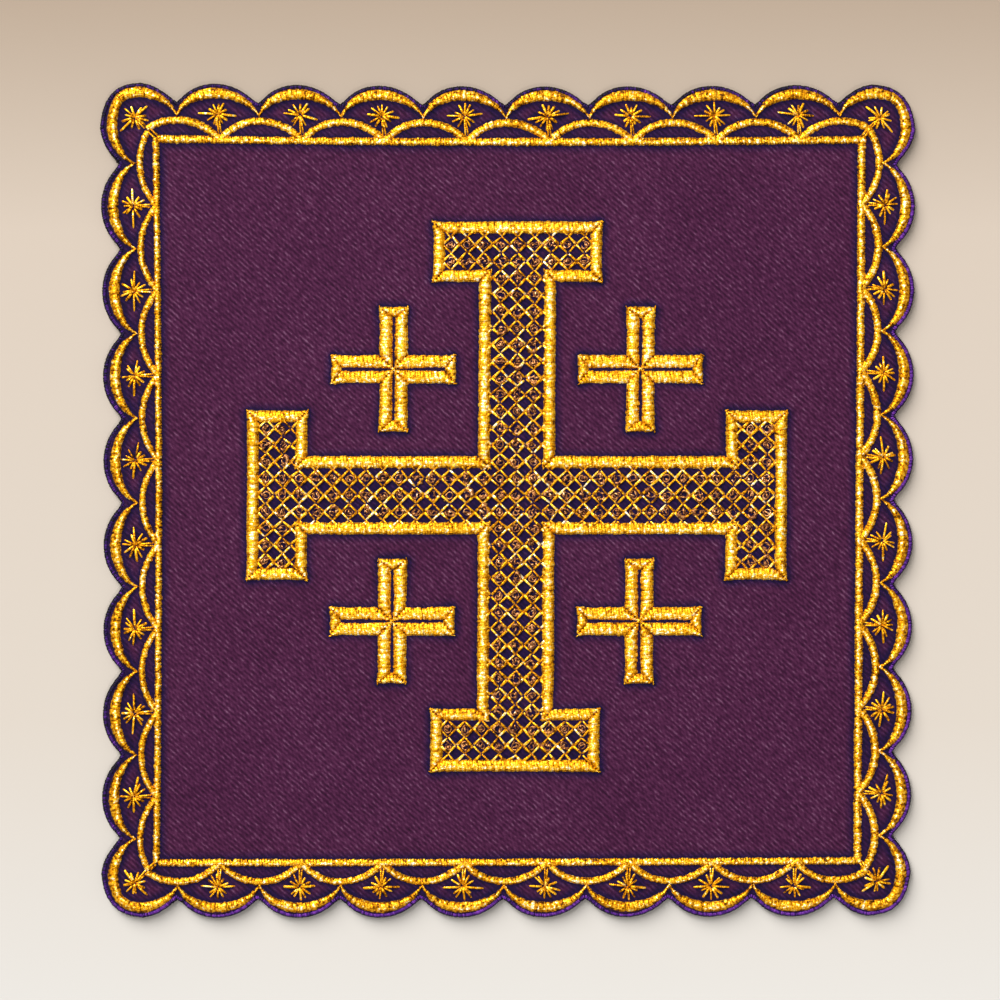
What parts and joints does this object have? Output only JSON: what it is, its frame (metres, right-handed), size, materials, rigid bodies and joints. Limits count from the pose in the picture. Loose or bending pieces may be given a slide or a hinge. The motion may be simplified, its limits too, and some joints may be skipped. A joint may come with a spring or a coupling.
{
  "type": "chalice pall",
  "caption": "Stiff square cloth pall that lies flat on a chalice, purple twill with a scalloped rim and gold thread embroidery of a cross potent in a border of arches and stars.",
  "frame": {"origin": "under the middle of the cloth's box, on the surface that it rests on", "axes": "+Z out of the embroidered face, +Y towards the head of the cross, +X to its right"},
  "size_m": [0.1654, 0.1694, 0.0026],
  "materials": {
    "twill": "dull purple twill, its rim overcast in violet",
    "gold_thread": "glittering metallised thread in satin stitch"
  },
  "bodies": {
    "root": {"panel": "twill", "scallop_crescents": "gold_thread", "arch_border": "gold_thread", "star_1": "gold_thread", "star_2": "gold_thread", "star_3": "gold_thread", "star_4": "gold_thread", "star_5": "gold_thread", "star_6": "gold_thread", "star_7": "gold_thread", "star_8": "gold_thread", "star_9": "gold_thread", "star_10": "gold_thread", "star_11": "gold_thread", "star_12": "gold_thread", "star_13": "gold_thread", "star_14": "gold_thread", "star_15": "gold_thread", "star_16": "gold_thread", "star_17": "gold_thread", "star_18": "gold_thread", "star_19": "gold_thread", "star_20": "gold_thread", "star_21": "gold_thread", "star_22": "gold_thread", "star_23": "gold_thread", "star_24": "gold_thread", "star_25": "gold_thread", "star_26": "gold_thread", "star_27": "gold_thread", "star_28": "gold_thread", "star_29": "gold_thread", "star_30": "gold_thread", "star_31": "gold_thread", "star_32": "gold_thread", "star_33": "gold_thread", "star_34": "gold_thread", "star_35": "gold_thread", "star_36": "gold_thread", "cross_outline": "gold_thread", "cross_lattice": "gold_thread", "crosslet_top_left": "gold_thread", "crosslet_top_right": "gold_thread", "crosslet_bottom_left": "gold_thread", "crosslet_bottom_right": "gold_thread"}
  },
  "joints": []
}
